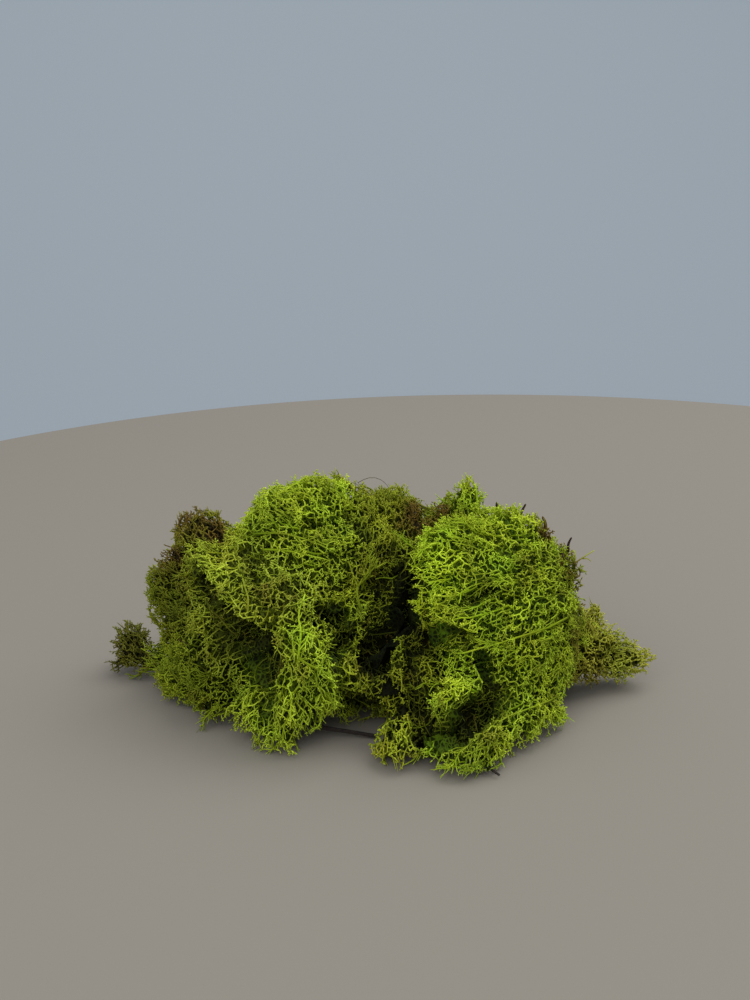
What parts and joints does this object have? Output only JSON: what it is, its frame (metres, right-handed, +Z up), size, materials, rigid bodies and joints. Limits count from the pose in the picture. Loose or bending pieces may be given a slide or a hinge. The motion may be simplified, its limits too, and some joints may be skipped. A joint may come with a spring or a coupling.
{
  "type": "preserved lichen heap",
  "caption": "Loose heap of preserved reindeer lichen: tangled cushions of fine forked branches, lime green at the tips and olive inside, with dark twigs caught in it.",
  "frame": {"origin": "on the resting surface, below the middle of the heap's bounding box", "axes": "+X along the heap's length, towards its right as seen from the front; +Y to the back; +Z up"},
  "size_m": [0.2052, 0.136, 0.0832],
  "materials": {
    "lime_lichen": "matt, dry, yellow-green lichen",
    "olive_lichen": "matt, dry, dark olive lichen",
    "brown_twig": "dark bark, matt"
  },
  "bodies": {
    "root": {"left_crown": "lime_lichen", "left_fan": "lime_lichen", "lower_left_cushion": "lime_lichen", "front_left_cushion": "lime_lichen", "right_cushion": "lime_lichen", "front_right_cushion": "lime_lichen", "top_tuft": "lime_lichen", "back_left_cushion": "lime_lichen", "back_right_cushion": "lime_lichen", "left_tuft": "olive_lichen", "middle_left_cushion": "olive_lichen", "back_crown": "olive_lichen", "middle_cushion": "olive_lichen", "right_fringe": "olive_lichen", "loose_left_tuft": "olive_lichen", "back_middle_cushion": "olive_lichen", "front_right_twig": "brown_twig", "front_twig": "brown_twig"}
  },
  "joints": []
}
